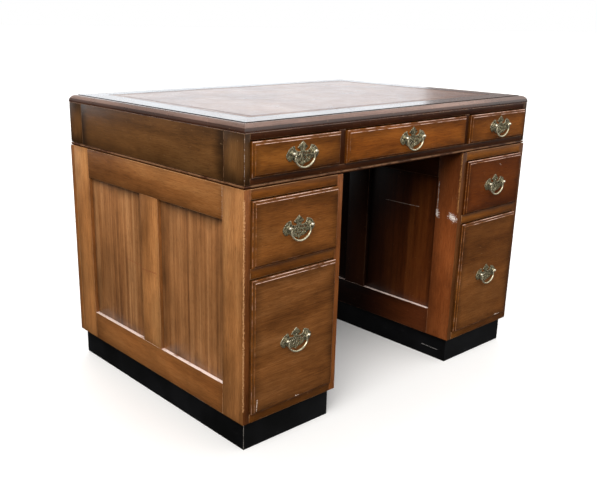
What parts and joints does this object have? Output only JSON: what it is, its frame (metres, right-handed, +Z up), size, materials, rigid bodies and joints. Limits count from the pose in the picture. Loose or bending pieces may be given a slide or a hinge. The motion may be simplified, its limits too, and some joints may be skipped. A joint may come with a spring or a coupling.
{
  "type": "writing desk with drawers",
  "caption": "Pedestal writing desk with a leather-lined top, frieze drawers over a kneehole, panelled drawer pedestals on black plinths and brass drop handles.",
  "frame": {"origin": "on the floor, under the middle of the whole desk's box, handles included", "axes": "+X to the user's right along the desk's width, -Y towards the user, +Z up"},
  "size_m": [1.07, 0.7818, 0.762],
  "materials": {
    "mahogany_frame": "antiqued satin polish",
    "mahogany_panel": "antiqued satin polish, striped figure",
    "mahogany_drawer_front": "antiqued satin polish",
    "mahogany_top": "antiqued gloss polish",
    "mahogany_moulding": "dark antiqued gloss polish",
    "drawer_lining_wood": "pale unpolished",
    "inner_carcass_wood": "unpolished",
    "leather": "worn semi-gloss hide",
    "antique_brass": "dark antique, worn bright on edges",
    "black_plinth": "black satin paint, scuffed"
  },
  "bodies": {
    "carcass": {"frieze_back": "mahogany_frame", "frieze_base_board": "mahogany_frame", "frieze_drawer_supports": "inner_carcass_wood", "frieze_front_frame": "mahogany_frame", "frieze_left_side": "mahogany_frame", "frieze_right_side": "mahogany_frame", "leather_lining": "leather", "left_back_frame": "mahogany_frame", "left_drawer_runners": "inner_carcass_wood", "left_end_boards": "inner_carcass_wood", "left_front_rails": "mahogany_frame", "left_inner_side_frame": "mahogany_frame", "left_outer_side_frame": "mahogany_frame", "left_plinth": "black_plinth", "left_side_panels": "mahogany_panel", "right_back_frame": "mahogany_frame", "right_drawer_runners": "inner_carcass_wood", "right_end_boards": "inner_carcass_wood", "right_front_rails": "mahogany_frame", "right_inner_side_frame": "mahogany_frame", "right_outer_side_frame": "mahogany_frame", "right_plinth": "black_plinth", "right_side_panels": "mahogany_panel", "top_board": "mahogany_top", "top_edge_moulding": "mahogany_moulding"},
    "frieze_left_drawer": {"frieze_left_drawer_front": "mahogany_drawer_front", "frieze_left_drawer_box": "drawer_lining_wood", "frieze_left_handle_plate": "antique_brass", "frieze_left_handle_posts": "antique_brass"},
    "frieze_left_bail": {"frieze_left_handle_bail": "antique_brass"},
    "frieze_centre_drawer": {"frieze_centre_drawer_front": "mahogany_drawer_front", "frieze_centre_drawer_box": "drawer_lining_wood", "frieze_centre_handle_plate": "antique_brass", "frieze_centre_handle_posts": "antique_brass"},
    "frieze_centre_bail": {"frieze_centre_handle_bail": "antique_brass"},
    "frieze_right_drawer": {"frieze_right_drawer_front": "mahogany_drawer_front", "frieze_right_drawer_box": "drawer_lining_wood", "frieze_right_handle_plate": "antique_brass", "frieze_right_handle_posts": "antique_brass"},
    "frieze_right_bail": {"frieze_right_handle_bail": "antique_brass"},
    "left_upper_drawer": {"left_upper_drawer_front": "mahogany_drawer_front", "left_upper_drawer_box": "drawer_lining_wood", "left_upper_handle_plate": "antique_brass", "left_upper_handle_posts": "antique_brass"},
    "left_upper_bail": {"left_upper_handle_bail": "antique_brass"},
    "left_lower_drawer": {"left_lower_drawer_front": "mahogany_drawer_front", "left_lower_drawer_box": "drawer_lining_wood", "left_lower_handle_plate": "antique_brass", "left_lower_handle_posts": "antique_brass"},
    "left_lower_bail": {"left_lower_handle_bail": "antique_brass"},
    "right_upper_drawer": {"right_upper_drawer_front": "mahogany_drawer_front", "right_upper_drawer_box": "drawer_lining_wood", "right_upper_handle_plate": "antique_brass", "right_upper_handle_posts": "antique_brass"},
    "right_upper_bail": {"right_upper_handle_bail": "antique_brass"},
    "right_lower_drawer": {"right_lower_drawer_front": "mahogany_drawer_front", "right_lower_drawer_box": "drawer_lining_wood", "right_lower_handle_plate": "antique_brass", "right_lower_handle_posts": "antique_brass"},
    "right_lower_bail": {"right_lower_handle_bail": "antique_brass"}
  },
  "joints": [
    {"name": "frieze_left_drawer_slide", "type": "slide", "parent": "carcass", "child": "frieze_left_drawer", "axis": [0, -1, 0], "range_m": [0, 0.42]},
    {"name": "frieze_left_bail_swing", "type": "hinge", "parent": "frieze_left_drawer", "child": "frieze_left_bail", "pos_m": [-0.3775, -0.3851, 0.6902], "axis": [-1, 0, 0], "range_deg": [0, 170]},
    {"name": "frieze_centre_drawer_slide", "type": "slide", "parent": "carcass", "child": "frieze_centre_drawer", "axis": [0, -1, 0], "range_m": [0, 0.42]},
    {"name": "frieze_centre_bail_swing", "type": "hinge", "parent": "frieze_centre_drawer", "child": "frieze_centre_bail", "pos_m": [0.002, -0.3851, 0.6902], "axis": [-1, 0, 0], "range_deg": [0, 170]},
    {"name": "frieze_right_drawer_slide", "type": "slide", "parent": "carcass", "child": "frieze_right_drawer", "axis": [0, -1, 0], "range_m": [0, 0.42]},
    {"name": "frieze_right_bail_swing", "type": "hinge", "parent": "frieze_right_drawer", "child": "frieze_right_bail", "pos_m": [0.387, -0.3851, 0.6902], "axis": [-1, 0, 0], "range_deg": [0, 170]},
    {"name": "left_upper_drawer_slide", "type": "slide", "parent": "carcass", "child": "left_upper_drawer", "axis": [0, -1, 0], "range_m": [0, 0.45]},
    {"name": "left_upper_bail_swing", "type": "hinge", "parent": "left_upper_drawer", "child": "left_upper_bail", "pos_m": [-0.385, -0.3871, 0.5262], "axis": [-1, 0, 0], "range_deg": [0, 170]},
    {"name": "left_lower_drawer_slide", "type": "slide", "parent": "carcass", "child": "left_lower_drawer", "axis": [0, -1, 0], "range_m": [0, 0.45]},
    {"name": "left_lower_bail_swing", "type": "hinge", "parent": "left_lower_drawer", "child": "left_lower_bail", "pos_m": [-0.385, -0.3871, 0.2577], "axis": [-1, 0, 0], "range_deg": [0, 170]},
    {"name": "right_upper_drawer_slide", "type": "slide", "parent": "carcass", "child": "right_upper_drawer", "axis": [0, -1, 0], "range_m": [0, 0.45]},
    {"name": "right_upper_bail_swing", "type": "hinge", "parent": "right_upper_drawer", "child": "right_upper_bail", "pos_m": [0.385, -0.3871, 0.5262], "axis": [-1, 0, 0], "range_deg": [0, 170]},
    {"name": "right_lower_drawer_slide", "type": "slide", "parent": "carcass", "child": "right_lower_drawer", "axis": [0, -1, 0], "range_m": [0, 0.45]},
    {"name": "right_lower_bail_swing", "type": "hinge", "parent": "right_lower_drawer", "child": "right_lower_bail", "pos_m": [0.385, -0.3871, 0.2577], "axis": [-1, 0, 0], "range_deg": [0, 170]}
  ]
}
